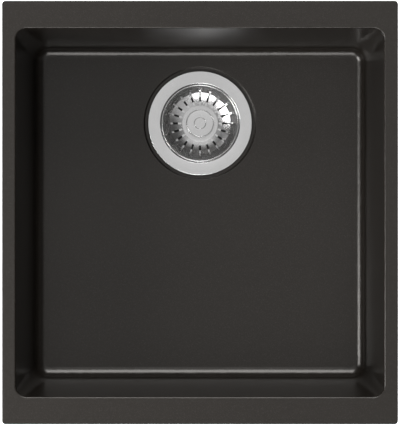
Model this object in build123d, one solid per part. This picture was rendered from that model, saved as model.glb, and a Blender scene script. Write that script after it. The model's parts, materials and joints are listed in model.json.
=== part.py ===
from build123d import *
import math
import os

# Undermount kitchen sink: one moulded composite bowl with a lift-out basket strainer in its
# waste and four swivelling fixing tabs under its rim. Sizes are in millimetres. The origin is
# the centre of the bowl's opening, on the rim's top face; +X is right, +Y is to the back and
# +Z is up.

# Rim and bowl
OPENING = 400.0  # inside width of the square opening at the rim
SIDE_RIM = 15.0  # rim left and right of the opening
END_RIM = 30.0  # rim in front of and behind the opening
RIM_THICKNESS = 12.0
RIM_CORNER_R = 4.0
RIM_EDGE_R = 1.2
RIM_ROOT_R = 3.0  # under the rim, against the outside of the wall
OPENING_CORNER_R = 12.0
OPENING_EDGE_R = 2.0
WALL = 9.0
WALL_DRAFT = 5.0  # degrees
FLOOR = 10.0
FLOOR_FALL = 1.0  # degrees, towards the waste
FLOOR_CORNER_R = 16.0
FLOOR_FILLET_R = 12.0
BOWL_DEPTH = 195.0  # rim top to the floor beside the waste
WASTE_Y = 100.0  # the waste's axis behind the opening's centre

# Fixing tabs, with their inserts, screws and washers
TAB_X = 190.0  # pivots to the left and right of the centre
TAB_WIDTH = 18.0
TAB_LENGTH = 58.0
TAB_THICKNESS = 2.5
TAB_CORNER_R = 6.0
TAB_INSET = 0.5  # parked tab to the rim's outer face
TAB_SLOT_WIDTH = 6.5
TAB_SLOT_LENGTH = 20.0
TAB_SLOT_MARGIN = 5.0  # end of the slot to the tab's tip
TAB_RIB_WIDTH = 5.0
TAB_RIB_HEIGHT = 1.2
TAB_RIB_MARGIN = 1.5
TAB_RIB_DRAFT = 25.0  # degrees
TAB_PLAY = 0.2  # above and below a tab
TAB_SCREW_R = 3.0
TAB_SCREW_REACH = 7.0  # thread inside the rim
TAB_HEAD_R = 5.0
TAB_HEAD_HEIGHT = 4.0
TAB_SOCKET_ACROSS = 5.0
TAB_SOCKET_DEPTH = 2.4
TAB_WASHER_R = 6.2
TAB_WASHER_THICKNESS = 1.2
INSERT_R = 4.0
INSERT_LENGTH = 8.0
INSERT_SPARE_DEPTH = 0.8
GLUE_LINE = 0.05
PIVOT_CLEARANCE = 0.08
THREAD_CLEARANCE = 0.05

# Sheet pressings: strainer cup and basket
SHEET = 0.8
FLANGE_WIDTH = 14.6  # round the cup's neck
FLANGE_SINK = 0.6  # flange's top below the bowl's floor
FLANGE_LIP = 2.0
FLANGE_LIP_R = 1.2
RECESS_MARGIN = 3.6  # round the flange
RECESS_EDGE_R = 1.0
CUP_GASKET_THICKNESS = 1.8
CUP_GASKET_INSET = 1.5
CUP_NECK_R = 44.0
CUP_NECK_EDGE_R = 1.0
CUP_NECK_DEPTH = 5.0
CUP_SHOULDER_R = 5.0
CUP_FLOOR_FLARE = 5.5  # gentle slope outside the seal's seat
CUP_FLOOR_RISE = 1.7
CUP_FLOOR_BEND_R = 3.0
CUP_HUB_CLEARANCE = 2.7  # round the centre screw's head
CUP_HUB_TAPER = 1.0
CUP_HUB_BEND_R = 1.2
CUP_OUTLETS = 8
CUP_OUTLET_R = 5.2
CUP_OUTLET_MARGIN = 2.4
WASTE_HOLE_CLEARANCE = 0.4  # round the cup's neck
BASKET_SIDE_GAP = 0.6  # bead to the cup's neck
BASKET_BEAD_R = 0.9
BASKET_BEAD_DROP = 1.9  # flange's top to the middle of the bead
BASKET_DEPTH = 26.2  # flange's top to the flat centre
BASKET_DISH_R = 34.6
BASKET_DISH_RISE = 4.6
BASKET_MIDDLE_R = 27.2
BASKET_MIDDLE_RISE = 1.7
BASKET_CURVE_R = 50.0
BASKET_BEND_R = 1.4
BASKET_CENTRE_R = 19.8
BASKET_SLOTS = 20
BASKET_SLOT_WIDTH = 2.1
BASKET_SLOT_MARGIN = 0.9  # flat centre to the slots
BASKET_SLOT_RUN = 3.6  # slots past the dish, up the wall

# Knob, stem and seal of the basket
KNOB_R = 15.3
KNOB_HEIGHT = 9.5
KNOB_CAP = 2.2
KNOB_CAP_EDGE_R = 0.9
KNOB_CAP_SLOPE = 0.8
KNOB_NECK_R = 7.0
KNOB_FOOT_R = 9.0
KNOB_FOOT_HEIGHT = 1.0
KNOB_BEND_R = 1.5
KNOB_RING_R = 6.4  # fine V-shaped ring in the knob's top
KNOB_RING_WIDTH = 0.8
KNOB_RING_DEPTH = 0.3
STEM_R = 3.4
STEM_HEAD_R = 4.8
STEM_HEAD_HEIGHT = 2.6
STEM_REACH = 18.0  # stem inside the centre screw
STEM_TIP_CHAMFER = 0.8
STEM_RING_HEIGHT = 6.0  # above the stem's tip
STEM_RING_SECTION_R = 0.6
RUNNING_CLEARANCE = 0.05
HEAD_PLAY = 0.2
SEAT_GAP = 0.1  # seal to its seat when the basket is down
SEAL_OVERLAP = 6.4  # seal past the cup's outlets
SEAL_THICKNESS = 3.9
SEAL_LIP_WIDTH = 2.6
SEAL_LIP_HEIGHT = 0.9
SEAL_EDGE_R = 0.8
SEAT_MARGIN = 2.8  # flat seat past the seal
SEAL_WASHER_INSET = 5.5
SEAL_WASHER_THICKNESS = 1.0
SEAL_NUT_ACROSS = 13.0
SEAL_NUT_THICKNESS = 1.6
NUT_GAP = 0.9  # seal nut to the centre screw's head

# Centre screw, which clamps the cup to the waste body
SCREW_R = 6.0
SCREW_HEAD_R = 8.3
SCREW_HEAD_HEIGHT = 2.6
SCREW_SLOT_WIDTH = 2.0
SCREW_SLOT_DEPTH = 1.4
SCREW_WASHER_THICKNESS = 1.0
SCREW_HOLE_CLEARANCE = 0.3
SCREW_BORE_SPARE = 2.0  # bore below the stem's tip
SCREW_TIP = 1.6  # solid end below the bore
SCREW_TIP_GAP = 0.4  # under the screw's tip, in the hub's closed foot

# Waste body under the sink
SEAT_THICKNESS = 13.8  # composite under the flange
BOSS_MARGIN = 3.0  # round the waste body's flange
BOSS_DRAFT = 10.0  # degrees
BODY_GASKET_THICKNESS = 3.0
BODY_GASKET_WIDTH = 15.0
BODY_GASKET_GAP = 0.8
BODY_LIP_WIDTH = 2.0
BODY_LIP_HEIGHT = 2.0
BODY_FLANGE_THICKNESS = 4.0
BODY_WALL = 3.0
BODY_CLEARANCE = 2.2  # round the cup's neck
BODY_SHOULDER_CLEARANCE = 3.7  # round the cup's floor
BODY_SHOULDER_BEND_R = 6.0
BODY_EDGE_R = 0.8
FUNNEL_DROP = 8.6  # hub's foot to the top of the outlet tube
OUTLET_OUTER_R = 23.9  # outside of a 1 1/2 inch pipe thread
OUTLET_WALL = 3.5
OUTLET_LENGTH = 26.0
GUSSETS = 8
GUSSET_THICKNESS = 2.5
GUSSET_DEPTH = 12.0
GUSSET_INSET = 2.0
HUB_WALL = 3.0  # round the corners of the brass nut
HUB_GAP = 2.0  # cup's hub to the waste body's hub
HUB_FOOT = 3.0
HUB_RIBS = 4
HUB_RIB_THICKNESS = 3.0
HUB_RIB_DROP = 2.0
BODY_NUT_ACROSS = 17.0
BODY_NUT_LENGTH = 14.0

# Radii that follow from the sizes above
FLANGE_R = CUP_NECK_R + FLANGE_WIDTH
WASTE_HOLE_R = CUP_NECK_R + SHEET + WASTE_HOLE_CLEARANCE
RECESS_R = FLANGE_R + RECESS_MARGIN
BEAD_RING_R = CUP_NECK_R - BASKET_SIDE_GAP - BASKET_BEAD_R
CUP_HUB_R = SCREW_HEAD_R + CUP_HUB_CLEARANCE
OUTLET_RING_R = CUP_HUB_R + CUP_OUTLET_MARGIN + CUP_OUTLET_R
SEAL_R = OUTLET_RING_R + CUP_OUTLET_R + SEAL_OVERLAP
SEAT_R = SEAL_R + SEAT_MARGIN
GASKET_R = WASTE_HOLE_R + BODY_GASKET_WIDTH
BODY_LIP_R = GASKET_R + BODY_GASKET_GAP
BODY_FLANGE_R = BODY_LIP_R + BODY_LIP_WIDTH
BODY_TOP_R = CUP_NECK_R + SHEET + BODY_CLEARANCE
BODY_SHOULDER_R = SEAT_R + CUP_FLOOR_FLARE + SHEET + BODY_SHOULDER_CLEARANCE
BOSS_R = BODY_FLANGE_R + BOSS_MARGIN
STEM_HOLE_R = STEM_R + RUNNING_CLEARANCE
HUB_R = BODY_NUT_ACROSS / math.sqrt(3) + HUB_WALL

# Heights that follow from the sizes above
RECESS_Z = -BOWL_DEPTH - FLANGE_SINK - SHEET - CUP_GASKET_THICKNESS
SEAT_Z = RECESS_Z - SEAT_THICKNESS
FLANGE_Z = -BOWL_DEPTH - FLANGE_SINK
BEAD_Z = FLANGE_Z - BASKET_BEAD_DROP
BASKET_Z = FLANGE_Z - BASKET_DEPTH
KNOB_Z = BASKET_Z + KNOB_HEIGHT
SEAL_TOP_Z = BASKET_Z - SHEET - SEAL_WASHER_THICKNESS
SEAL_Z = SEAL_TOP_Z - SEAL_THICKNESS
CUP_SEAT_Z = SEAL_Z - SEAT_GAP
SCREW_TOP_Z = SEAL_Z - SEAL_NUT_THICKNESS - NUT_GAP
SCREW_HEAD_Z = SCREW_TOP_Z - SCREW_HEAD_HEIGHT
HUB_Z = SCREW_HEAD_Z - SCREW_WASHER_THICKNESS
STEM_TIP_Z = SCREW_TOP_Z - STEM_REACH
STEM_RING_Z = STEM_TIP_Z + STEM_RING_HEIGHT
SCREW_BORE_Z = STEM_TIP_Z - SCREW_BORE_SPARE
SCREW_TIP_Z = SCREW_BORE_Z - SCREW_TIP
BODY_Z = SEAT_Z - BODY_GASKET_THICKNESS
BODY_NUT_Z = HUB_Z - SHEET - HUB_GAP
HUB_FOOT_Z = BODY_NUT_Z - BODY_NUT_LENGTH - HUB_FOOT
FUNNEL_Z = HUB_FOOT_Z - FUNNEL_DROP
OUTLET_Z = FUNNEL_Z - OUTLET_LENGTH
INSERT_TOP_Z = -RIM_THICKNESS + INSERT_LENGTH + INSERT_SPARE_DEPTH
TAB_Z = -RIM_THICKNESS - TAB_PLAY
TAB_WASHER_Z = TAB_Z - TAB_THICKNESS - TAB_PLAY
TAB_HEAD_Z = TAB_WASHER_Z - TAB_WASHER_THICKNESS
TAB_Y = OPENING / 2 + END_RIM - TAB_INSET - TAB_WIDTH / 2


def opening_half(z):
    """Half the inside width of the bowl at height z."""
    return OPENING / 2 + z * math.tan(math.radians(WALL_DRAFT))


def floor_height(radius):
    """Height of the bowl's floor at a distance from the waste's axis."""
    return -BOWL_DEPTH + (radius - RECESS_R) * math.tan(math.radians(FLOOR_FALL))


def section(*corners):
    """Half section in the XZ plane through corners of (radius, height, rounding)."""
    with BuildSketch(Plane.XZ) as face:
        with BuildLine():
            FilletPolyline(
                *[(x, z) for x, z, _ in corners], radius=[r for _, _, r in corners], close=True
            )
        make_face()
    return face.sketch


def sheet_section(start, *bends_and_end):
    """Half section of sheet whose upper face runs inwards from start, bend by bend, to the end."""
    *bends, end = bends_and_end
    path = FilletPolyline(start, *[(x, z) for x, z, _ in bends], end, radius=[r for _, _, r in bends])
    outline = offset(path.edges(), amount=SHEET, side=Side.LEFT)
    return Plane.XZ * make_face(outline.edges())


def turned(face):
    """Turn a half section once round the waste's axis."""
    return Pos(0, WASTE_Y, 0) * revolve(face, Axis.Z)


def ring(inner_r, outer_r, bottom, top):
    """Plain ring round the waste's axis, or a disc where inner_r is 0."""
    corners = (inner_r, bottom, 0), (outer_r, bottom, 0), (outer_r, top, 0), (inner_r, top, 0)
    return turned(section(*corners))


def hexagon(across, bottom, top):
    """Hexagonal prism on the waste's axis."""
    outline = RegularPolygon(across / 2, 6, major_radius=False)
    return Pos(0, WASTE_Y, bottom) * extrude(outline, amount=top - bottom)


def tab_places():
    """Pivot of each tab by name, with the turn that parks it along the rim."""
    places = {}
    for row, y in (("back", TAB_Y), ("front", -TAB_Y)):
        places[row + "_left"] = Pos(-TAB_X, y, 0)
        places[row + "_right"] = Pos(TAB_X, y, 0) * Rot(0, 0, 180)
    return places


def at_pivots(shape):
    """The same small part at every tab's pivot, as one group."""
    return Compound([place * shape for place in tab_places().values()])


def post(radius, bottom, top):
    """Upright cylinder on the Z axis."""
    return Pos(0, 0, bottom) * extrude(Circle(radius), amount=top - bottom)


# The bowl


def below_floor(drop, bottom):
    """Everything under the sloping floor, whose face is lowered by drop."""
    level = -BOWL_DEPTH - drop
    reach = OPENING + END_RIM
    return turned(
        section(
            (0, level, 0),
            (RECESS_R, level, 0),
            (reach, floor_height(reach) - drop, 0),
            (reach, bottom, 0),
            (0, bottom, 0),
        )
    )


def tub(grow, drop, top):
    """Tapering form of the bowl: walls moved out by grow, floor moved down by drop."""
    bottom = -BOWL_DEPTH - drop - FLOOR
    ends = []
    for z, radius in ((top, OPENING_CORNER_R), (bottom, FLOOR_CORNER_R)):
        side = 2 * (opening_half(z) + grow)
        ends.append(Pos(0, 0, z) * RectangleRounded(side, side, radius + grow))
    form = loft(ends, ruled=True) - below_floor(drop, bottom - FLOOR)
    floor = form.faces().filter_by(GeomType.CONE).sort_by(Axis.Z)[0]
    return fillet(floor.outer_wire().edges(), FLOOR_FILLET_R + grow)


def waste_boss():
    """Flat-faced boss under the floor, which the lower gasket seats on."""
    top = -BOWL_DEPTH - FLOOR / 2
    spread = (top - SEAT_Z) * math.tan(math.radians(BOSS_DRAFT))
    return turned(
        section((0, SEAT_Z, 0), (BOSS_R, SEAT_Z, 0), (BOSS_R + spread, top, 0), (0, top, 0))
    )


def rim_and_outside():
    """Flat rim on the bowl's outer form, with a rounded root and the waste's boss."""
    width = OPENING + 2 * SIDE_RIM
    length = OPENING + 2 * END_RIM
    slab = extrude(RectangleRounded(width, length, RIM_CORNER_R), amount=-RIM_THICKNESS)
    outside = slab + tub(WALL, FLOOR, -RIM_THICKNESS / 2)
    under = [f for f in outside.faces().filter_by(Axis.Z) if f.inner_wires()][0]
    return fillet(under.inner_wires()[0].edges(), RIM_ROOT_R) + waste_boss()


def sink_bowl():
    """Composite moulding: rim, bowl, waste seat with its boss, and holes for the inserts."""
    bowl = rim_and_outside() - tub(0, 0, OPENING_EDGE_R)
    bowl -= ring(0, RECESS_R, RECESS_Z, -BOWL_DEPTH + FLOOR)
    bowl -= ring(0, WASTE_HOLE_R, SEAT_Z - FLOOR, -BOWL_DEPTH)
    bowl -= at_pivots(post(INSERT_R + GLUE_LINE, -RIM_THICKNESS, INSERT_TOP_Z))
    circles = bowl.edges().filter_by(GeomType.CIRCLE)
    rounds = [e for e in circles if abs(e.radius - RECESS_R) < RECESS_EDGE_R]
    bowl = fillet(rounds, RECESS_EDGE_R)
    top = bowl.faces().filter_by(Axis.Z).sort_by(Axis.Z)[-1]
    bowl = fillet(top.inner_wires()[0].edges(), OPENING_EDGE_R)
    top = bowl.faces().filter_by(Axis.Z).sort_by(Axis.Z)[-1]
    return fillet(top.outer_wire().edges(), RIM_EDGE_R)


def rim_inserts():
    """Brass sleeves glued into the underside of the rim, threaded for the tab screws."""
    sleeve = post(INSERT_R, -RIM_THICKNESS, -RIM_THICKNESS + INSERT_LENGTH)
    sleeve -= post(TAB_SCREW_R + THREAD_CLEARANCE, -RIM_THICKNESS, 0)
    return at_pivots(sleeve)


# Fixing tabs


def fixing_tab(place):
    """Steel tab that swings on its screw, with a slot for the worktop screw and a pressed rib."""
    heel = -TAB_WIDTH / 2
    slot_x = heel + TAB_LENGTH - TAB_SLOT_MARGIN - TAB_SLOT_LENGTH / 2
    blank = RectangleRounded(TAB_LENGTH, TAB_WIDTH, TAB_CORNER_R)
    outline = Pos(heel + TAB_LENGTH / 2, 0) * blank - Circle(TAB_SCREW_R + PIVOT_CLEARANCE)
    outline -= Pos(slot_x, 0) * SlotOverall(TAB_SLOT_LENGTH, TAB_SLOT_WIDTH)
    tab = Pos(0, 0, TAB_Z) * extrude(outline, amount=-TAB_THICKNESS)
    rib_start = TAB_WASHER_R + TAB_RIB_MARGIN
    rib_end = slot_x - TAB_SLOT_LENGTH / 2 - TAB_RIB_MARGIN
    rib = SlotOverall(rib_end - rib_start, TAB_RIB_WIDTH)
    rib = extrude(rib, amount=-TAB_RIB_HEIGHT, taper=TAB_RIB_DRAFT)
    return place * (tab + Pos((rib_start + rib_end) / 2, 0, TAB_Z - TAB_THICKNESS) * rib)


def tab_screws():
    """Socket-head screws that carry the tabs."""
    bottom = TAB_HEAD_Z - TAB_HEAD_HEIGHT
    screw = post(TAB_SCREW_R, TAB_HEAD_Z, -RIM_THICKNESS + TAB_SCREW_REACH)
    screw += post(TAB_HEAD_R, bottom, TAB_HEAD_Z)
    socket = RegularPolygon(TAB_SOCKET_ACROSS / 2, 6, major_radius=False)
    return at_pivots(screw - Pos(0, 0, bottom) * extrude(socket, amount=TAB_SOCKET_DEPTH))


def tab_washers():
    """Washers between the screw heads and the tabs."""
    washer = post(TAB_WASHER_R, TAB_HEAD_Z, TAB_WASHER_Z)
    return at_pivots(washer - post(TAB_SCREW_R + THREAD_CLEARANCE, TAB_HEAD_Z, TAB_WASHER_Z))


# Strainer cup and what clamps it


def strainer_cup():
    """Pressed cup with a wide flange, a seat for the seal and a ring of round outlets."""
    profile = sheet_section(
        (FLANGE_R, FLANGE_Z - FLANGE_LIP),
        (FLANGE_R, FLANGE_Z, FLANGE_LIP_R),
        (CUP_NECK_R, FLANGE_Z, CUP_NECK_EDGE_R),
        (CUP_NECK_R, FLANGE_Z - CUP_NECK_DEPTH, CUP_SHOULDER_R),
        (SEAT_R + CUP_FLOOR_FLARE, CUP_SEAT_Z + CUP_FLOOR_RISE, CUP_FLOOR_BEND_R),
        (SEAT_R, CUP_SEAT_Z, CUP_HUB_BEND_R),
        (CUP_HUB_R, CUP_SEAT_Z, CUP_HUB_BEND_R),
        (CUP_HUB_R - CUP_HUB_TAPER, HUB_Z, CUP_HUB_BEND_R),
        (SCREW_R + SCREW_HOLE_CLEARANCE, HUB_Z),
    )
    outlets = Sketch() + PolarLocations(OUTLET_RING_R, CUP_OUTLETS) * Circle(CUP_OUTLET_R)
    cutter = Pos(0, WASTE_Y, CUP_SEAT_Z - 2 * SHEET) * extrude(outlets, amount=3 * SHEET)
    return turned(profile) - cutter


def cup_gasket():
    """Flat gasket between the cup's flange and the recess in the floor."""
    outer_r = FLANGE_R - CUP_GASKET_INSET
    return ring(WASTE_HOLE_R, outer_r, RECESS_Z, RECESS_Z + CUP_GASKET_THICKNESS)


def body_gasket():
    """Thick gasket between the waste body and the boss under the floor."""
    return ring(WASTE_HOLE_R, GASKET_R, BODY_Z, SEAT_Z)


def screw_washer():
    """Sealing washer under the centre screw's head."""
    return ring(SCREW_R + THREAD_CLEARANCE, SCREW_HEAD_R, HUB_Z, SCREW_HEAD_Z)


def centre_screw():
    """Hollow slotted screw, whose bore guides the basket's stem."""
    screw = ring(0, SCREW_HEAD_R, SCREW_HEAD_Z, SCREW_TOP_Z)
    screw += ring(0, SCREW_R, SCREW_TIP_Z, SCREW_HEAD_Z)
    screw -= ring(0, STEM_HOLE_R, SCREW_BORE_Z, SCREW_TOP_Z)
    slot = Rectangle(2 * SCREW_HEAD_R, SCREW_SLOT_WIDTH)
    return screw - Pos(0, WASTE_Y, SCREW_TOP_Z) * extrude(slot, amount=-SCREW_SLOT_DEPTH)


def body_nut():
    """Hexagonal brass nut moulded into the waste body's hub."""
    bottom = BODY_NUT_Z - BODY_NUT_LENGTH
    return hexagon(BODY_NUT_ACROSS, bottom, BODY_NUT_Z) - ring(
        0, SCREW_R + THREAD_CLEARANCE, bottom, BODY_NUT_Z
    )


# Waste body


def body_outside():
    """Solid outer form of the waste body: flange, shoulder, funnel and outlet tube."""
    under = BODY_Z - BODY_FLANGE_THICKNESS
    return turned(
        section(
            (0, BODY_Z, 0),
            (BODY_LIP_R, BODY_Z, 0),
            (BODY_LIP_R, BODY_Z + BODY_LIP_HEIGHT, 0),
            (BODY_FLANGE_R, BODY_Z + BODY_LIP_HEIGHT, BODY_EDGE_R),
            (BODY_FLANGE_R, under, BODY_EDGE_R),
            (BODY_TOP_R + BODY_WALL, under, BODY_EDGE_R),
            (BODY_SHOULDER_R + BODY_WALL, HUB_Z, BODY_SHOULDER_BEND_R),
            (OUTLET_OUTER_R, FUNNEL_Z, BODY_EDGE_R),
            (OUTLET_OUTER_R, OUTLET_Z, BODY_EDGE_R),
            (0, OUTLET_Z, 0),
        )
    )


def body_inside():
    """Water's way through the waste body."""
    inner_r = OUTLET_OUTER_R - OUTLET_WALL
    return turned(
        section(
            (0, BODY_Z, 0),
            (BODY_TOP_R, BODY_Z, 0),
            (BODY_SHOULDER_R, HUB_Z, BODY_SHOULDER_BEND_R),
            (inner_r, FUNNEL_Z, BODY_SHOULDER_BEND_R),
            (inner_r, OUTLET_Z, 0),
            (0, OUTLET_Z, 0),
        )
    )


def hub_and_ribs():
    """Hub that holds the brass nut, closed below it, and the crossing ribs that carry it."""
    top = BODY_NUT_Z
    hub = ring(0, HUB_R, HUB_FOOT_Z, top)
    for index in range(HUB_RIBS // 2):
        plate = Rectangle(2 * (BODY_SHOULDER_R + BODY_WALL), HUB_RIB_THICKNESS)
        turn = Rot(0, 0, index * 360 / HUB_RIBS)
        rib = extrude(plate, amount=top - HUB_RIB_DROP - HUB_FOOT_Z)
        hub += Pos(0, WASTE_Y, HUB_FOOT_Z) * turn * rib
    hub -= hexagon(BODY_NUT_ACROSS, top - BODY_NUT_LENGTH, top)
    return hub - ring(0, SCREW_R + SCREW_HOLE_CLEARANCE, SCREW_TIP_Z - SCREW_TIP_GAP, top)


def gussets():
    """Thin triangular webs that stiffen the flange from below."""
    top = BODY_Z - BODY_FLANGE_THICKNESS
    web = section(
        (BODY_SHOULDER_R, top, 0),
        (BODY_FLANGE_R - GUSSET_INSET, top, 0),
        (BODY_SHOULDER_R, top - GUSSET_DEPTH, 0),
    )
    web = extrude(web, amount=GUSSET_THICKNESS / 2, both=True)
    return [Pos(0, WASTE_Y, 0) * Rot(0, 0, i * 360 / GUSSETS) * web for i in range(GUSSETS)]


def waste_body():
    """Moulded waste body with outside gussets and an inside hub for the centre screw."""
    outside = body_outside()
    body = outside + gussets()
    return body - body_inside() + (hub_and_ribs() & outside)


# Basket


def basket():
    """Pressed basket: beaded edge, steep wall, dished floor and radial slots."""
    profile = sheet_section(
        (BEAD_RING_R - SHEET / 2, BEAD_Z),
        (BASKET_DISH_R, BASKET_Z + BASKET_DISH_RISE, BASKET_BEND_R),
        (BASKET_MIDDLE_R, BASKET_Z + BASKET_MIDDLE_RISE, BASKET_CURVE_R),
        (BASKET_CENTRE_R, BASKET_Z, BASKET_BEND_R),
        (STEM_HOLE_R, BASKET_Z),
    )
    bead = Plane.XZ * Pos(BEAD_RING_R, BEAD_Z) * Circle(BASKET_BEAD_R)
    shell = turned(profile) + turned(bead)
    inner_r = BASKET_CENTRE_R + BASKET_SLOT_MARGIN
    outer_r = BASKET_DISH_R + BASKET_SLOT_RUN
    slot = SlotOverall(outer_r - inner_r, BASKET_SLOT_WIDTH)
    slots = Sketch() + PolarLocations((inner_r + outer_r) / 2, BASKET_SLOTS) * slot
    bottom = BASKET_Z - 2 * SHEET
    return shell - Pos(0, WASTE_Y, bottom) * extrude(slots, amount=BEAD_Z - bottom)


def basket_knob():
    """Finger knob over the basket's centre, hollow below for the stem's head."""
    cap_z = KNOB_Z - KNOB_CAP
    pocket_r = STEM_HEAD_R + HEAD_PLAY
    pocket_z = BASKET_Z + STEM_HEAD_HEIGHT + 2 * HEAD_PLAY
    knob = turned(
        section(
            (0, pocket_z, 0),
            (pocket_r, pocket_z, 0),
            (pocket_r, BASKET_Z, 0),
            (KNOB_FOOT_R, BASKET_Z, 0),
            (KNOB_NECK_R, BASKET_Z + KNOB_FOOT_HEIGHT, KNOB_BEND_R),
            (KNOB_NECK_R, cap_z - KNOB_CAP_SLOPE, KNOB_BEND_R),
            (KNOB_R, cap_z, KNOB_CAP_EDGE_R),
            (KNOB_R, KNOB_Z, KNOB_CAP_EDGE_R),
            (0, KNOB_Z, 0),
        )
    )
    half_ring = KNOB_RING_WIDTH / 2
    groove = section(
        (KNOB_RING_R - half_ring, KNOB_Z, 0),
        (KNOB_RING_R, KNOB_Z - KNOB_RING_DEPTH, 0),
        (KNOB_RING_R + half_ring, KNOB_Z, 0),
    )
    return knob - turned(groove)


def basket_stem():
    """Guide pin that the basket turns on, with a head inside the knob and a ring groove."""
    head_z = BASKET_Z + HEAD_PLAY
    groove_r = STEM_R - 2 * STEM_RING_SECTION_R
    half_groove = STEM_RING_SECTION_R + RUNNING_CLEARANCE
    return turned(
        section(
            (0, STEM_TIP_Z, 0),
            (STEM_R - STEM_TIP_CHAMFER, STEM_TIP_Z, 0),
            (STEM_R, STEM_TIP_Z + STEM_TIP_CHAMFER, 0),
            (STEM_R, STEM_RING_Z - half_groove, 0),
            (groove_r, STEM_RING_Z - half_groove, 0),
            (groove_r, STEM_RING_Z + half_groove, 0),
            (STEM_R, STEM_RING_Z + half_groove, 0),
            (STEM_R, head_z, 0),
            (STEM_HEAD_R, head_z, 0),
            (STEM_HEAD_R, head_z + STEM_HEAD_HEIGHT, 0),
            (0, head_z + STEM_HEAD_HEIGHT, 0),
        )
    )


def stem_ring():
    """Soft ring in the stem's groove, which steadies the stem in the screw's bore."""
    centre_r = STEM_R - STEM_RING_SECTION_R
    return turned(Plane.XZ * Pos(centre_r, STEM_RING_Z) * Circle(STEM_RING_SECTION_R))


def seal_washer():
    """Steel washer between the basket and its seal."""
    return ring(STEM_HOLE_R, SEAL_R - SEAL_WASHER_INSET, SEAL_TOP_Z, BASKET_Z - SHEET)


def basket_seal():
    """Rubber disc that closes the cup's outlets, with a raised lip round its edge."""
    lip_z = SEAL_TOP_Z + SEAL_LIP_HEIGHT
    lip_r = SEAL_R - SEAL_LIP_WIDTH
    return turned(
        section(
            (STEM_HOLE_R, SEAL_Z, 0),
            (SEAL_R, SEAL_Z, SEAL_EDGE_R),
            (SEAL_R, lip_z, SEAL_EDGE_R),
            (lip_r, lip_z, SEAL_EDGE_R),
            (lip_r - SEAL_LIP_HEIGHT, SEAL_TOP_Z, SEAL_EDGE_R),
            (STEM_HOLE_R, SEAL_TOP_Z, 0),
        )
    )


def seal_nut():
    """Thin nut that holds the seal and its washer up against the basket."""
    bottom = SEAL_Z - SEAL_NUT_THICKNESS
    return hexagon(SEAL_NUT_ACROSS, bottom, SEAL_Z) - ring(0, STEM_HOLE_R, bottom, SEAL_Z)


def build():
    """Every piece of the sink by its name."""
    pieces = {"fixing_tab_" + name: fixing_tab(place) for name, place in tab_places().items()}
    makers = (
        sink_bowl,
        rim_inserts,
        tab_screws,
        tab_washers,
        strainer_cup,
        cup_gasket,
        body_gasket,
        waste_body,
        body_nut,
        centre_screw,
        screw_washer,
        basket,
        basket_knob,
        basket_stem,
        stem_ring,
        seal_washer,
        basket_seal,
        seal_nut,
    )
    for maker in makers:
        pieces[maker.__name__] = maker()
    return pieces


os.makedirs("parts", exist_ok=True)
for name, shape in build().items():
    export_step(shape, f"parts/{name}.step")
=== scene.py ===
# %% [markdown]
# # A composite kitchen sink with a steel basket strainer
# The sink is one dark, matt moulding that hangs under a worktop. A pressed steel strainer sits
# in its floor, and four swivelling tabs lie under its rim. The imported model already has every
# piece at its real size, so this lesson only gives the pieces their finish, and makes finer
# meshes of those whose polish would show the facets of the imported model.
# Units are metres. The origin is the centre of the bowl's opening, on top of the rim; +X is
# right, +Y is back and +Z is up.

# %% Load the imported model
import json
import math

import bpy
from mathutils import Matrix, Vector


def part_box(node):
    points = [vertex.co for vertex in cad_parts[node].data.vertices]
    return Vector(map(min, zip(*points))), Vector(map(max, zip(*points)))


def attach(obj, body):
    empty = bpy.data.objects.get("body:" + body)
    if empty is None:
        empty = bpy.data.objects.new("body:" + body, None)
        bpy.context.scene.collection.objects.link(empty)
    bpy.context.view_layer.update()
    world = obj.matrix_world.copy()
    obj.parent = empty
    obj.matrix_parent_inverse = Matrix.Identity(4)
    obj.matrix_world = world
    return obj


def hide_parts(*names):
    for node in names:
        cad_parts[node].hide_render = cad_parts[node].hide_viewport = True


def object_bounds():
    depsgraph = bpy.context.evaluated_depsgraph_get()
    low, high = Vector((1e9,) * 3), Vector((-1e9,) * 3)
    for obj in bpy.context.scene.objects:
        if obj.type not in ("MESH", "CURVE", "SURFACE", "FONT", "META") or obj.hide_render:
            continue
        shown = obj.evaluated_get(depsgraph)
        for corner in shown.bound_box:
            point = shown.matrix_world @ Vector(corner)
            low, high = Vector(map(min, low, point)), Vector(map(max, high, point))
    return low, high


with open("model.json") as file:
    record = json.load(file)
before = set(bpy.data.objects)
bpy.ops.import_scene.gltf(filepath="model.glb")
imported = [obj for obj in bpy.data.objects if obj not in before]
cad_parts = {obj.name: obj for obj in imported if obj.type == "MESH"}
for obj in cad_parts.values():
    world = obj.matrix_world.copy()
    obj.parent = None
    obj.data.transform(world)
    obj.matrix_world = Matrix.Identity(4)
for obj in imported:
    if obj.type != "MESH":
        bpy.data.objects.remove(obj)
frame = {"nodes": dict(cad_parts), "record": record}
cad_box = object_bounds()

MM = 0.001
print("nodes", len(frame["nodes"]), "box", [tuple(round(v, 4) for v in p) for p in cad_box])

# %% [markdown]
# ## The camera
# The photograph looks straight down from several metres, so the walls of the bowl show as
# narrow bands. A long lens high above the rim gives the same view. One pixel of the 400 by 425
# picture is 1.0855 mm on the rim, and the walls shrink towards the floor as they do there.

# %% Camera straight above the bowl
PICTURE_WIDTH = 400
RIM_PER_PIXEL = 1.0855 * MM
CAMERA_HEIGHT = 6.576
SENSOR = 36.0

camera_data = bpy.data.cameras.new("camera")
camera_data.sensor_width = SENSOR
camera_data.sensor_fit = "HORIZONTAL"
camera_data.lens = SENSOR * CAMERA_HEIGHT / (PICTURE_WIDTH * RIM_PER_PIXEL)
camera_data.clip_end = 50
camera = bpy.data.objects.new("camera", camera_data)
camera.location = (0, 0, CAMERA_HEIGHT)
bpy.context.collection.objects.link(camera)
bpy.context.scene.camera = camera
bpy.context.scene.view_settings.view_transform = "Standard"
print("lens", round(camera_data.lens, 1))

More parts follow.
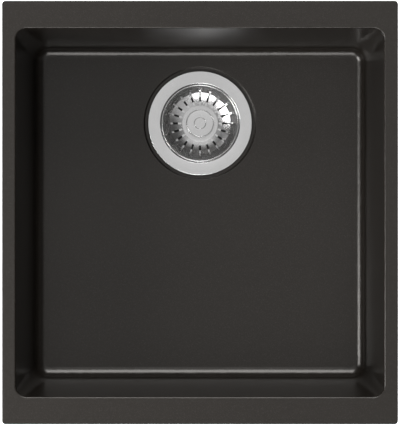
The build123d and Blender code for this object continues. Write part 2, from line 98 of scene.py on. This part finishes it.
# %% [markdown]
# ## Node graphs written as arithmetic
# Both materials and Geometry Nodes are graphs. A small wrapper round an output socket lets
# Python's operators add the Math nodes, and one method makes every other node: first its
# settings, then the values or links of its sockets.

# %% A wire, and a graph that makes nodes


class Wire:
    """One output socket, on which arithmetic adds Math nodes."""

    def __init__(self, graph, socket):
        self.graph = graph
        self.socket = socket

    def math(self, operation, *others):
        values = dict(enumerate((self, *others)))
        return self.graph.node("ShaderNodeMath", {"operation": operation}, values)

    def __add__(self, other):
        return self.math("ADD", other)

    def __sub__(self, other):
        return self.math("SUBTRACT", other)

    def __rsub__(self, other):
        return self.math("MULTIPLY", -1).math("ADD", other)

    def __mul__(self, other):
        return self.math("MULTIPLY", other)

    def __truediv__(self, other):
        return self.math("DIVIDE", other)

    __radd__ = __add__


class Graph:
    """A node tree, with one method that makes its nodes."""

    def __init__(self, tree):
        self.tree = tree

    def node(self, kind, settings=None, sockets=None, out=0):
        made = self.tree.nodes.new(kind)
        for name, value in (settings or {}).items():
            if name == "stops":
                while len(made.color_ramp.elements) < len(value):
                    made.color_ramp.elements.new(0.5)
                for stop, (place, grey) in zip(made.color_ramp.elements, value):
                    stop.position = place
                    stop.color = (grey, grey, grey, 1)
            else:
                setattr(made, name, value)
        for key, value in (sockets or {}).items():
            if isinstance(value, Wire):
                self.tree.links.new(value.socket, made.inputs[key])
            else:
                made.inputs[key].default_value = value
        return Wire(self, made.outputs[out]) if made.outputs else None

    def mix(self, share, first, second):
        """Colour that goes from first to second as share goes from 0 to 1."""
        sockets = {0: share, 6: first, 7: second}
        return self.node("ShaderNodeMix", {"data_type": "RGBA"}, sockets, out=2)


def colour(red, green, blue):
    return (red, green, blue, 1.0)


print("graph helpers ready")

# %% [markdown]
# ## Studio light
# The fillets at the foot of the bowl show what stands around it: bright lines on three sides
# and none on the side that faces right. So there is a soft panel to the left, one behind and
# one in front, and nothing on the right. The flat steel mirrors the ceiling straight overhead,
# so its even light grey needs a soft patch there, and the dish of the basket mirrors the patches
# lower down. The rest of the ceiling is dim. The camera sees plain white past the sink.
# The levels of the panels and patches were found by rendering each light alone and fitting
# their sum to the photograph's tones, and were then adjusted.

# %% Soft panels and the sky
AIM = Vector((0, 0, -100 * MM))
PANELS = {  # direction in plan, angle from straight up, width, height, distance, power
    "panel_left": (198, 50, 0.7, 0.6, 1.6, 26.0),
    "panel_back": (90, 47, 1.5, 1.5, 3.0, 70.0),
    "panel_front": (262, 50, 1.2, 1.0, 2.4, 31.0),
}
for name, (plan, tilt, width, height, distance, power) in PANELS.items():
    light = bpy.data.lights.new(name, "AREA")
    light.shape = "RECTANGLE"
    light.size, light.size_y = width, height
    light.energy = power
    panel = bpy.data.objects.new(name, light)
    across = distance * math.sin(math.radians(tilt))
    panel.location = AIM + Vector(
        (
            across * math.cos(math.radians(plan)),
            across * math.sin(math.radians(plan)),
            distance * math.cos(math.radians(tilt)),
        )
    )
    panel.rotation_euler = (AIM - panel.location).to_track_quat("-Z", "Y").to_euler()
    bpy.context.collection.objects.link(panel)

CEILING_LEVEL = 0.08
PATCHES = {  # direction in plan, angle from straight up, edge and heart in degrees, level
    "overhead": (0, 0, 25, 18, 0.64),
    "behind": (90, 28, 24, 10, 0.90),
    "front_left": (235, 34, 24, 10, 0.30),
    "front_right": (315, 34, 24, 10, 0.45),
}
world = bpy.data.worlds.new("sky")
bpy.context.scene.world = world
world.use_nodes = True
world.node_tree.nodes.clear()
sky = Graph(world.node_tree)
camera_ray = sky.node("ShaderNodeLightPath", out="Is Camera Ray")
towards = sky.node("ShaderNodeTexCoord", out="Generated")
level = CEILING_LEVEL
for patch in PATCHES.values():
    plan, tilt, edge, centre = (math.radians(angle) for angle in patch[:4])
    heart = (math.sin(tilt) * math.cos(plan), math.sin(tilt) * math.sin(plan), math.cos(tilt))
    near = sky.node(
        "ShaderNodeVectorMath", {"operation": "DOT_PRODUCT"}, {0: towards, 1: heart}, out="Value"
    )
    limits = {1: math.cos(edge), 2: math.cos(centre)}
    level = sky.node("ShaderNodeMapRange", sockets={0: near, **limits}) * patch[4] + level
level = camera_ray + (1 - camera_ray) * level
light_out = sky.node("ShaderNodeBackground", sockets={"Color": colour(1, 1, 1), "Strength": level})
sky.node("ShaderNodeOutputWorld", sockets={"Surface": light_out})
print("panels", len(PANELS))

# %% [markdown]
# ## Floor of the studio
# A pale plane lies under the outlet. It takes the sink's shadow, and a little glow that only
# the camera sees keeps its open parts white.

# %% Pale floor
low = cad_box[0].z
floor_mesh = bpy.data.meshes.new("studio_floor")
FLOOR_REACH = 6.0
FLOOR_CORNERS = ((-1, -1), (1, -1), (1, 1), (-1, 1))
floor_mesh.from_pydata(
    [(x * FLOOR_REACH, y * FLOOR_REACH, low) for x, y in FLOOR_CORNERS], [], [(0, 1, 2, 3)]
)
studio_floor = bpy.data.objects.new("studio_floor", floor_mesh)
bpy.context.collection.objects.link(studio_floor)
floor_paint = bpy.data.materials.new("studio_floor")
floor_paint.use_nodes = True
floor_paint.node_tree.nodes.clear()
graph = Graph(floor_paint.node_tree)
seen = graph.node("ShaderNodeLightPath", out="Is Camera Ray")
surface = graph.node(
    "ShaderNodeBsdfPrincipled",
    sockets={
        "Base Color": colour(0.8, 0.8, 0.8),
        "Roughness": 0.8,
        "Emission Color": graph.mix(seen, colour(0, 0, 0), colour(1, 1, 1)),
        "Emission Strength": 1.0,
    },
)
graph.node("ShaderNodeOutputMaterial", sockets={"Surface": surface})
floor_mesh.materials.append(floor_paint)
print("floor at", round(low, 4))

# %% [markdown]
# ## Finishes
# Every finish is a Principled surface with a little texture in its colour, roughness and bump.
# One function makes the surface from the parts that differ, so each finish only says what is
# special about it. All patterns read Object coordinates, which are real metres here because
# every mesh lies in the sink's own frame.

# %% What all finishes share


class Finish(Graph):
    """A material whose surface is one Principled node."""

    def __init__(self, name):
        self.material = bpy.data.materials.new(name)
        self.material.use_nodes = True
        super().__init__(self.material.node_tree)
        self.tree.nodes.clear()
        self.place = self.node("ShaderNodeTexCoord", out="Object")

    def noise(self, size, detail=2.0, place=None):
        """Noise whose blobs are about size metres across, from 0 to 1."""
        sockets = {"Vector": place or self.place, "Scale": 1 / size, "Detail": detail}
        return self.node("ShaderNodeTexNoise", sockets=sockets)

    def bump(self, height, depth):
        """Surface direction for a height from 0 to 1 that stands for depth metres."""
        sockets = {"Height": height, "Distance": depth, "Strength": 1.0}
        return self.node("ShaderNodeBump", sockets=sockets)

    def about_axis(self):
        """Place as seen from the waste's axis, one wire for each of X, Y and Z."""
        sockets = {"Vector": self.place, "Location": (0, -AXIS_Y, 0)}
        centred = self.node("ShaderNodeMapping", sockets=sockets)
        parts = self.node("ShaderNodeSeparateXYZ", sockets={0: centred})
        return [Wire(self, socket) for socket in parts.socket.node.outputs]

    def surface(self, **sockets):
        """Ends the graph with a Principled surface."""
        named = {key.replace("_", " "): value for key, value in sockets.items()}
        made = self.node("ShaderNodeBsdfPrincipled", sockets=named)
        self.node("ShaderNodeOutputMaterial", sockets={"Surface": made})
        return self.material


print("finish helper ready")

# %% [markdown]
# ### Dark composite
# The bowl is quartz sand in resin. Its base is nearly black, with a faint warm cast, and it is
# full of grains a few tenths of a millimetre across, some a little lighter. The rim's face is
# left as it comes from the mould, a shade rougher than the inside of the bowl.

# %% Composite
GRAIN = 0.45 * MM
RESIN_DARK = colour(0.0070, 0.0054, 0.0040)
RESIN_LIGHT = colour(0.0082, 0.0064, 0.0050)
FLECK = colour(0.040, 0.037, 0.033)
FLECK_SHARE = 0.55


def composite():
    finish = Finish("quartz_composite")
    grains = finish.node(
        "ShaderNodeTexVoronoi", {"feature": "F1"}, {"Vector": finish.place, "Scale": 1 / GRAIN}
    )
    tint = Wire(finish, grains.socket.node.outputs["Color"])
    shade = finish.node("ShaderNodeSeparateColor", sockets={0: tint})
    fleck = finish.node(
        "ShaderNodeValToRGB", {"stops": [(0.80, 0.0), (0.97, 1.0)]}, {0: shade}
    )
    cloud = finish.noise(60 * MM, 3.0)
    dark = finish.mix(cloud, RESIN_DARK, RESIN_LIGHT)
    skin = finish.mix(fleck * FLECK_SHARE, dark, FLECK)
    height = finish.node("ShaderNodeSeparateXYZ", sockets={0: finish.place}, out=2)
    inside = finish.node(
        "ShaderNodeMapRange", sockets={0: height, 1: -3 * MM, 2: -0.2 * MM, 3: 1.0, 4: 0.0}
    )
    rough = 0.33 - inside * 0.05 + finish.noise(1.2 * MM) * 0.02
    relief = finish.noise(0.5 * MM, 4.0) * (1 - inside * 0.6)
    return finish.surface(
        Base_Color=skin,
        Roughness=rough,
        Normal=finish.bump(relief, 0.02 * MM),
        IOR=1.45,
        Specular_Tint=colour(1.0, 0.97, 0.935),
    )


COMPOSITE = composite()
print(COMPOSITE.name)

# %% [markdown]
# ### Steel
# The cup, the basket and the knob are turned or pressed and then brushed round their axis. The
# fine rings of that brushing are noise that depends on the distance from the axis alone.

# %% Stainless steel, brushed round the waste's axis
AXIS_Y = (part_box("basket_knob")[0].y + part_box("basket_knob")[1].y) / 2


def brushed_round(name, shade, rough):
    finish = Finish(name)
    x, y, z = finish.about_axis()
    radius = (x * x + y * y).math("SQRT")
    rings = finish.node("ShaderNodeCombineXYZ", sockets={0: radius, 1: z})
    lines = finish.noise(0.25 * MM, 3.0, rings)
    smudge = finish.noise(9 * MM, 2.0)
    tone = finish.mix(
        lines * 0.5 + smudge * 0.5,
        colour(*[c * 0.94 for c in shade]),
        colour(*[min(1.0, c * 1.06) for c in shade]),
    )
    return finish.surface(
        Base_Color=tone,
        Metallic=1.0,
        Roughness=rough + smudge * 0.05 + lines * 0.04,
        Normal=finish.bump(lines, 0.002 * MM),
    )


STAINLESS = brushed_round("stainless_steel", (0.638, 0.636, 0.634), 0.21)
print(STAINLESS.name, "axis at y", round(AXIS_Y, 4))

# %% [markdown]
# ### Zinc, brass, rubber and plastic
# The hidden pieces have plain working finishes: bright zinc with a cloudy bloom on the tabs and
# screws, machined brass, matt rubber, and the faintly mottled white of moulded polypropylene.
# The outlet tube has a pipe thread of 11 turns to the inch. It is a ridge that climbs one pitch
# a turn, so its height depends on the angle and on Z, and it is kept to the tube's outside.

# %% Working finishes


def metal(name, first, second, rough, bloom):
    finish = Finish(name)
    cloud = finish.noise(bloom, 4.0)
    grain = finish.noise(0.3 * MM, 3.0)
    return finish.surface(
        Base_Color=finish.mix(cloud, first, second),
        Metallic=1.0,
        Roughness=cloud * 0.15 + grain * 0.05 + rough,
        Normal=finish.bump(grain, 0.004 * MM),
    )


def soft(name, first, second, rough, grain_size, depth):
    finish = Finish(name)
    cloud = finish.noise(12 * MM, 3.0)
    grain = finish.noise(grain_size, 4.0)
    return finish.surface(
        Base_Color=finish.mix(cloud, first, second),
        Roughness=grain * 0.12 + rough,
        Normal=finish.bump(grain, depth),
    )


ZINC = metal("zinc_plate", colour(0.60, 0.60, 0.58), colour(0.70, 0.69, 0.64), 0.24, 6 * MM)
BRASS = metal("machined_brass", colour(0.62, 0.46, 0.20), colour(0.70, 0.54, 0.27), 0.22, 4 * MM)
RUBBER = soft(
    "black_rubber",
    colour(0.012, 0.012, 0.012),
    colour(0.022, 0.022, 0.021),
    0.55,
    0.4 * MM,
    0.02 * MM,
)

THREAD_PITCH = 25.4 / 11 * MM
THREAD_R = 23.9 * MM
THREAD_DEPTH = 1.1 * MM
THREAD_MARGIN = 0.6 * MM  # either side of the tube's outside
THREAD_START, THREAD_END, THREAD_FADE = 1 * MM, 23 * MM, 2 * MM  # above the tube's end


def threaded(name, first, second, rough):
    finish = Finish(name)
    x, y, z = finish.about_axis()
    climb = y.math("ARCTAN2", x) / (2 * math.pi) + z / THREAD_PITCH
    ridge = climb.math("PINGPONG", 0.5) * 2
    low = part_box("waste_body")[0].z
    starts, ends = low + THREAD_START, low + THREAD_END
    start = finish.node("ShaderNodeMapRange", sockets={0: z, 1: starts, 2: starts + THREAD_FADE})
    end = finish.node("ShaderNodeMapRange", sockets={0: z, 1: ends, 2: ends - THREAD_FADE})
    radius = (x * x + y * y).math("SQRT")
    outside = radius.math("GREATER_THAN", THREAD_R - THREAD_MARGIN)
    near = radius.math("LESS_THAN", THREAD_R + THREAD_MARGIN)
    cloud = finish.noise(12 * MM, 3.0)
    grain = finish.noise(0.8 * MM, 4.0)
    height = ridge * start * end * outside * near + grain * 0.01
    return finish.surface(
        Base_Color=finish.mix(cloud, first, second),
        Roughness=grain * 0.12 + rough,
        Normal=finish.bump(height, THREAD_DEPTH),
    )


PLASTIC = threaded(
    "white_polypropylene", colour(0.68, 0.68, 0.66), colour(0.74, 0.74, 0.72), 0.38
)
print("working finishes ready")

# %% [markdown]
# ## Shapes grown by Geometry Nodes
# The pieces that shine are turned or pressed round the waste's axis. A node group carries a
# closed outline once round a circle, and a second one cuts a ring of slots or holes. Each
# group has named inputs, which one function sets by their sockets' identifiers before it
# reads the finished mesh back.

# %% A node group with named inputs


class Shape(Graph):
    """A Geometry Nodes group whose inputs are wires by name."""

    def __init__(self, name, **inputs):
        tree = bpy.data.node_groups.new(name, "GeometryNodeTree")
        super().__init__(tree)
        for label, kind in {"Geometry": "Geometry", **inputs}.items():
            tree.interface.new_socket(label, in_out="INPUT", socket_type="NodeSocket" + kind)
        tree.interface.new_socket("Geometry", in_out="OUTPUT", socket_type="NodeSocketGeometry")
        entry = tree.nodes.new("NodeGroupInput")
        self.given = {socket.name: Wire(self, socket) for socket in entry.outputs}

    def finish(self, mesh, sharp=35):
        """Marks edges sharper than so many degrees, and ends the group."""
        angle = self.node("GeometryNodeInputMeshEdgeAngle")
        smooth = self.node(
            "FunctionNodeCompare", {"operation": "LESS_THAN"}, {0: angle, 1: math.radians(sharp)}
        )
        faces = self.node("GeometryNodeSetShadeSmooth", {"domain": "FACE"}, {0: mesh, 2: True})
        edges = self.node("GeometryNodeSetShadeSmooth", {"domain": "EDGE"}, {0: faces, 2: smooth})
        real = self.node("GeometryNodeRealizeInstances", sockets={0: edges})
        painted = self.node("GeometryNodeSetMaterial", sockets={0: real, 2: self.given["Material"]})
        self.node("NodeGroupOutput", sockets={0: painted})


def grow(shape, name, seed, **values):
    """Mesh that a shape makes from a seed mesh and input values."""
    holder = bpy.data.objects.new(name, seed)
    bpy.context.collection.objects.link(holder)
    modifier = holder.modifiers.new("shape", "NODES")
    modifier.node_group = shape.tree
    for item in shape.tree.interface.items_tree:
        if item.name in values:
            modifier[item.identifier] = values[item.name]
    ready = bpy.context.evaluated_depsgraph_get()
    mesh = bpy.data.meshes.new_from_object(holder.evaluated_get(ready))
    bpy.data.objects.remove(holder)
    mesh.name = name
    return mesh


print("shape helpers ready")

# %% [markdown]
# ### Turning and cutting
# The circle's own radius drops out, because the outline is moved in by as much. Points that
# meet on the axis are merged, so a solid disc closes there. A cutter is the convex hull of two
# upright cylinders, which is a slot, or a round hole where the two stand in the same place.

# %% The two node groups
STEPS = 288
WELD = 1e-6  # points nearer than this are one
POST_SIDES = 48


def turning():
    """Carries the outline of the seed mesh once round an upright axis."""
    shape = Shape("turning", Steps="Int", Radius="Float", Axis="Vector", Material="Material")
    given = shape.given
    outline = shape.node("GeometryNodeMeshToCurve", sockets={0: given["Geometry"]})
    circle = shape.node(
        "GeometryNodeCurvePrimitiveCircle",
        sockets={"Resolution": given["Steps"], "Radius": given["Radius"]},
    )
    tube = shape.node(
        "GeometryNodeCurveToMesh", sockets={"Curve": circle, "Profile Curve": outline}
    )
    closed = shape.node("GeometryNodeMergeByDistance", sockets={"Geometry": tube, "Distance": WELD})
    placed = shape.node(
        "GeometryNodeTransform", sockets={"Geometry": closed, "Translation": given["Axis"]}
    )
    shape.finish(placed)
    return shape


def ring_of_cuts():
    """Cuts the seed mesh with a ring of slots that run from one radius to another."""
    shape = Shape(
        "ring_of_cuts",
        Count="Int",
        Inner="Float",
        Outer="Float",
        Width="Float",
        Bottom="Float",
        Top="Float",
        Axis="Vector",
        Material="Material",
    )
    given = shape.given
    tall = given["Top"] - given["Bottom"]
    post = shape.node(
        "GeometryNodeMeshCylinder",
        sockets={"Vertices": POST_SIDES, "Radius": given["Width"] * 0.5, "Depth": tall},
    )
    middle = (given["Top"] + given["Bottom"]) * 0.5
    ends = []
    for reach in (given["Inner"], given["Outer"]):
        at = shape.node("ShaderNodeCombineXYZ", sockets={0: reach, 2: middle})
        moved = {"Geometry": post, "Translation": at}
        ends.append(shape.node("GeometryNodeTransform", sockets=moved))
    both = shape.tree.nodes.new("GeometryNodeJoinGeometry")
    for end in reversed(ends):
        shape.tree.links.new(end.socket, both.inputs[0])
    cutter = shape.node("GeometryNodeConvexHull", sockets={0: Wire(shape, both.outputs[0])})
    centres = shape.node(
        "GeometryNodeMeshLine",
        sockets={"Count": given["Count"], "Start Location": given["Axis"], "Offset": (0, 0, 0)},
    )
    turn = shape.node("GeometryNodeInputIndex") * (2 * math.pi) / given["Count"]
    about = shape.node("ShaderNodeCombineXYZ", sockets={2: turn})
    ring = shape.node(
        "GeometryNodeInstanceOnPoints",
        sockets={"Points": centres, "Instance": cutter, "Rotation": about},
    )
    cutters = shape.node("GeometryNodeRealizeInstances", sockets={0: ring})
    cut = shape.node(
        "GeometryNodeMeshBoolean",
        {"operation": "DIFFERENCE", "solver": "EXACT"},
        {0: given["Geometry"], 1: cutters},
    )
    shape.finish(cut)
    return shape


TURNING = turning()
RING_OF_CUTS = ring_of_cuts()
print("groups", TURNING.tree.name, RING_OF_CUTS.tree.name)

# %% [markdown]
# ### Outlines
# An outline is a chain of corners, each with its own rounding. A pressing has a face and an
# equal face one sheet below it, so it is drawn from its upper face alone. An outline that
# starts and ends on the axis stays open there, because turning it closes the solid.
# Polish shows a long facet as a streak, so a rounding takes steps of at most 9 degrees and of
# at most 1 mm. A straight run that slots cut across can be split into short ones as well.

# %% Corners, roundings and sheet
ARC_STEP = math.radians(9)
ARC_RUN = 1.0  # mm


def rounded(*corners):
    """Points through corners of (radius, height, rounding); the two ends stay sharp."""
    places = [Vector(corner[:2]) for corner in corners]
    points = [places[0]]
    for before, corner, here, after in zip(places, corners[1:-1], places[1:], places[2:]):
        size = corner[2]
        back, on = (before - here).normalized(), (after - here).normalized()
        half = back.angle(on) / 2
        centre = here + (back + on).normalized() * size / math.sin(half)
        first = here + back * size / math.tan(half) - centre
        last = here + on * size / math.tan(half) - centre
        start = math.atan2(first.y, first.x)
        sweep = (math.atan2(last.y, last.x) - start + math.pi) % (2 * math.pi) - math.pi
        steps = math.ceil(abs(sweep) * max(1 / ARC_STEP, size / ARC_RUN)) if size else 0
        for step in range(steps + 1):
            angle = start + sweep * step / max(1, steps)
            points.append(centre + size * Vector((math.cos(angle), math.sin(angle))))
    return points + [places[-1]]


def finely(points, longest):
    """The same chain with its long runs split, so that slots cut across short faces only."""
    split = [points[0]]
    for here, after in zip(points, points[1:]):
        parts = math.ceil((after - here).length / longest)
        split += [here.lerp(after, part / parts) for part in range(1, parts + 1)]
    return split


def below(points, depth):
    """The same chain moved off to its left by a depth."""
    moved = []
    for index, here in enumerate(points):
        run = points[min(index + 1, len(points) - 1)] - points[max(index - 1, 0)]
        moved.append(here + Vector((-run.y, run.x)).normalized() * depth)
    return moved


def turned(name, outline, finish):
    """Mesh that a closed outline of (radius, height) in mm makes round the waste's axis."""
    reach = 0.1
    seed = bpy.data.meshes.new(name)
    corners = [(x * MM - reach, -z * MM, 0) for x, z in reversed(outline)]
    edges = [(i, i + 1) for i in range(len(corners) - 1)]
    if outline[0][0] or outline[-1][0]:
        edges.append((len(corners) - 1, 0))
    seed.from_pydata(corners, edges, [])
    axis = (0, AXIS_Y, 0)
    return grow(TURNING, name, seed, Steps=STEPS, Radius=reach, Axis=axis, Material=finish)


print("outline helpers ready")

# %% [markdown]
# ### Strainer cup, basket and knob
# These three are polished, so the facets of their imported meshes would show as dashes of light.
# Each is made again from the real sizes, with 288 steps round the axis, and stands for the
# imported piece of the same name.

# %% Sizes of the strainer, in millimetres
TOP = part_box("strainer_cup")[1].z / MM
SHEET = 0.8
FLANGE_R, FLANGE_LIP, FLANGE_LIP_R = 58.6, 2.0, 1.2
NECK_R, NECK_EDGE_R, NECK_DEPTH, SHOULDER_R = 44.0, 1.0, 5.0, 5.0
SEAT_Z = TOP - 32.0
FLARE_R, FLARE_RISE, FLARE_BEND_R = 38.5, 1.7, 3.0
SEAT_R, CUP_HUB_R, CUP_HUB_TAPER, HUB_BEND_R = 33.0, 11.0, 1.0, 1.2
HUB_Z = TOP - 38.0
SCREW_HOLE_R = 6.3
OUTLETS, OUTLET_R, OUTLET_RING_R = 8, 5.2, 18.6
FLOOR_Z = TOP - 26.2
BEAD_RING_R, BEAD_R, BEAD_Z = 42.5, 0.9, TOP - 1.9
DISH_R, DISH_RISE, BEND_R = 34.6, 4.6, 1.4
MIDDLE_R, MIDDLE_RISE, CURVE_R = 27.2, 1.7, 50.0
CENTRE_R, STEM_HOLE_R = 19.8, 3.45
SLOTS, SLOT_WIDTH, SLOT_START, SLOT_END = 20, 2.1, 20.7, 38.2
SLOTTED_RUN = 1.5  # longest straight run that a slot cuts across
KNOB_R, KNOB_HEIGHT, KNOB_CAP, KNOB_CAP_EDGE_R, KNOB_CAP_SLOPE = 15.3, 9.5, 2.2, 0.9, 0.8
KNOB_NECK_R, KNOB_FOOT_R, KNOB_FOOT_HEIGHT, KNOB_BEND_R = 7.0, 9.0, 1.0, 1.5
KNOB_RING_R, KNOB_RING_WIDTH, KNOB_RING_DEPTH = 6.4, 0.8, 0.3
KNOB_SOCKET_R, KNOB_SOCKET_DEPTH = 5.0, 3.0


def stand_for(node, mesh, body):
    """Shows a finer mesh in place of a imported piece."""
    piece = bpy.data.objects.new(node + "_fine", mesh)
    bpy.context.collection.objects.link(piece)
    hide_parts(node)
    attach(piece, body)
    print(node, "faces", len(mesh.polygons))


print("flange top at", round(TOP, 2))

# %% [markdown]
# The cup is pressed from one sheet: a flange, a neck, and a floor whose middle drops to hold
# the centre screw. A Solidify modifier could thicken its upper face, but drawing the lower face
# too keeps the sheet equally thick round every bend. Eight holes in the floor let water out.

# %% Strainer cup
upper = rounded(
    (FLANGE_R, TOP - FLANGE_LIP, 0),
    (FLANGE_R, TOP, FLANGE_LIP_R),
    (NECK_R, TOP, NECK_EDGE_R),
    (NECK_R, TOP - NECK_DEPTH, SHOULDER_R),
    (FLARE_R, SEAT_Z + FLARE_RISE, FLARE_BEND_R),
    (SEAT_R, SEAT_Z, HUB_BEND_R),
    (CUP_HUB_R, SEAT_Z, HUB_BEND_R),
    (CUP_HUB_R - CUP_HUB_TAPER, HUB_Z, HUB_BEND_R),
    (SCREW_HOLE_R, HUB_Z, 0),
)
cup = turned("cup_pressing", upper + below(upper, SHEET)[::-1], STAINLESS)
cup = grow(
    RING_OF_CUTS,
    "cup_fine",
    cup,
    Count=OUTLETS,
    Inner=OUTLET_RING_R * MM,
    Outer=OUTLET_RING_R * MM,
    Width=2 * OUTLET_R * MM,
    Bottom=(SEAT_Z - 2 * SHEET) * MM,
    Top=(SEAT_Z + SHEET) * MM,
    Axis=(0, AXIS_Y, 0),
    Material=STAINLESS,
)
stand_for("strainer_cup", cup, "root")

# %% [markdown]
# The basket's edge is rolled into a bead. Its round is drawn from where the outer face of the
# wall meets it, over the top, to where the inner face starts down. The slots run from the flat
# centre, over the dish, a little way up the wall. Cutting them after the turning leaves clean
# walls through the sheet, which a pattern in the material couldn't give.

# %% Basket with its bead and slots
bead = Vector((BEAD_RING_R, BEAD_Z))
start = Vector((BEAD_RING_R - SHEET / 2, BEAD_Z))
down = (Vector((DISH_R, FLOOR_Z + DISH_RISE)) - start).normalized()
inset = (bead - start).dot(Vector((-down.y, down.x)))
heading = math.atan2(down.y, down.x)
first = heading + math.asin((SHEET - inset) / BEAD_R)
last = heading + 2 * math.pi - math.asin(inset / BEAD_R)
BEAD_STEPS = 24
roll = []
for step in range(BEAD_STEPS + 1):
    angle = first + (last - first) * step / BEAD_STEPS
    roll.append(bead + BEAD_R * Vector((math.cos(angle), math.sin(angle))))
upper = rounded(
    (*roll[-1], 0),
    (DISH_R, FLOOR_Z + DISH_RISE, BEND_R),
    (MIDDLE_R, FLOOR_Z + MIDDLE_RISE, CURVE_R),
    (CENTRE_R, FLOOR_Z, BEND_R),
    (STEM_HOLE_R, FLOOR_Z, 0),
)
upper = finely(upper, SLOTTED_RUN)
pressing = turned("basket_pressing", upper + below(upper, SHEET)[:0:-1] + roll[:-1], STAINLESS)
basket = grow(
    RING_OF_CUTS,
    "basket_fine",
    pressing,
    Count=SLOTS,
    Inner=(SLOT_START + SLOT_WIDTH / 2) * MM,
    Outer=(SLOT_END - SLOT_WIDTH / 2) * MM,
    Width=SLOT_WIDTH * MM,
    Bottom=(FLOOR_Z - 2 * SHEET) * MM,
    Top=BEAD_Z * MM,
    Axis=(0, AXIS_Y, 0),
    Material=STAINLESS,
)
stand_for("basket", basket, "basket")

# %% [markdown]
# The knob is one solid turning: a foot, a narrow neck for two fingers and a round cap with a
# fine ring in its top. It could be cut from a cylinder, but one outline turned round the axis
# holds every size at once. The socket below takes the head of the stem.

# %% Knob, hollow below, with a fine ring in its top
KNOB_TOP = FLOOR_Z + KNOB_HEIGHT
SOCKET_TOP = FLOOR_Z + KNOB_SOCKET_DEPTH
CAP_Z = KNOB_TOP - KNOB_CAP
knob = rounded(
    (0, SOCKET_TOP, 0),
    (KNOB_SOCKET_R, SOCKET_TOP, 0),
    (KNOB_SOCKET_R, FLOOR_Z, 0),
    (KNOB_FOOT_R, FLOOR_Z, 0),
    (KNOB_NECK_R, FLOOR_Z + KNOB_FOOT_HEIGHT, KNOB_BEND_R),
    (KNOB_NECK_R, CAP_Z - KNOB_CAP_SLOPE, KNOB_BEND_R),
    (KNOB_R, CAP_Z, KNOB_CAP_EDGE_R),
    (KNOB_R, KNOB_TOP, KNOB_CAP_EDGE_R),
    (KNOB_RING_R + KNOB_RING_WIDTH / 2, KNOB_TOP, 0),
    (KNOB_RING_R, KNOB_TOP - KNOB_RING_DEPTH, 0),
    (KNOB_RING_R - KNOB_RING_WIDTH / 2, KNOB_TOP, 0),
    (0, KNOB_TOP, 0),
)
stand_for("basket_knob", turned("knob_fine", knob, STAINLESS), "basket")

# %% [markdown]
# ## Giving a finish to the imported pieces
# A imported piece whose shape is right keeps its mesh. Only its material slot changes.

# %% Finish by material slot
FINISHES = {
    "composite": COMPOSITE,
    "stainless": STAINLESS,
    "zinc_steel": ZINC,
    "brass": BRASS,
    "rubber": RUBBER,
    "waste_plastic": PLASTIC,
}
SLOT_OF = {part["node"]: part["material_slot"] for part in frame["record"]["subparts"]}
for node, packed in frame["nodes"].items():
    for slot in packed.material_slots:
        slot.material = FINISHES[SLOT_OF[node]]
print({node: SLOT_OF[node] for node in sorted(SLOT_OF)})
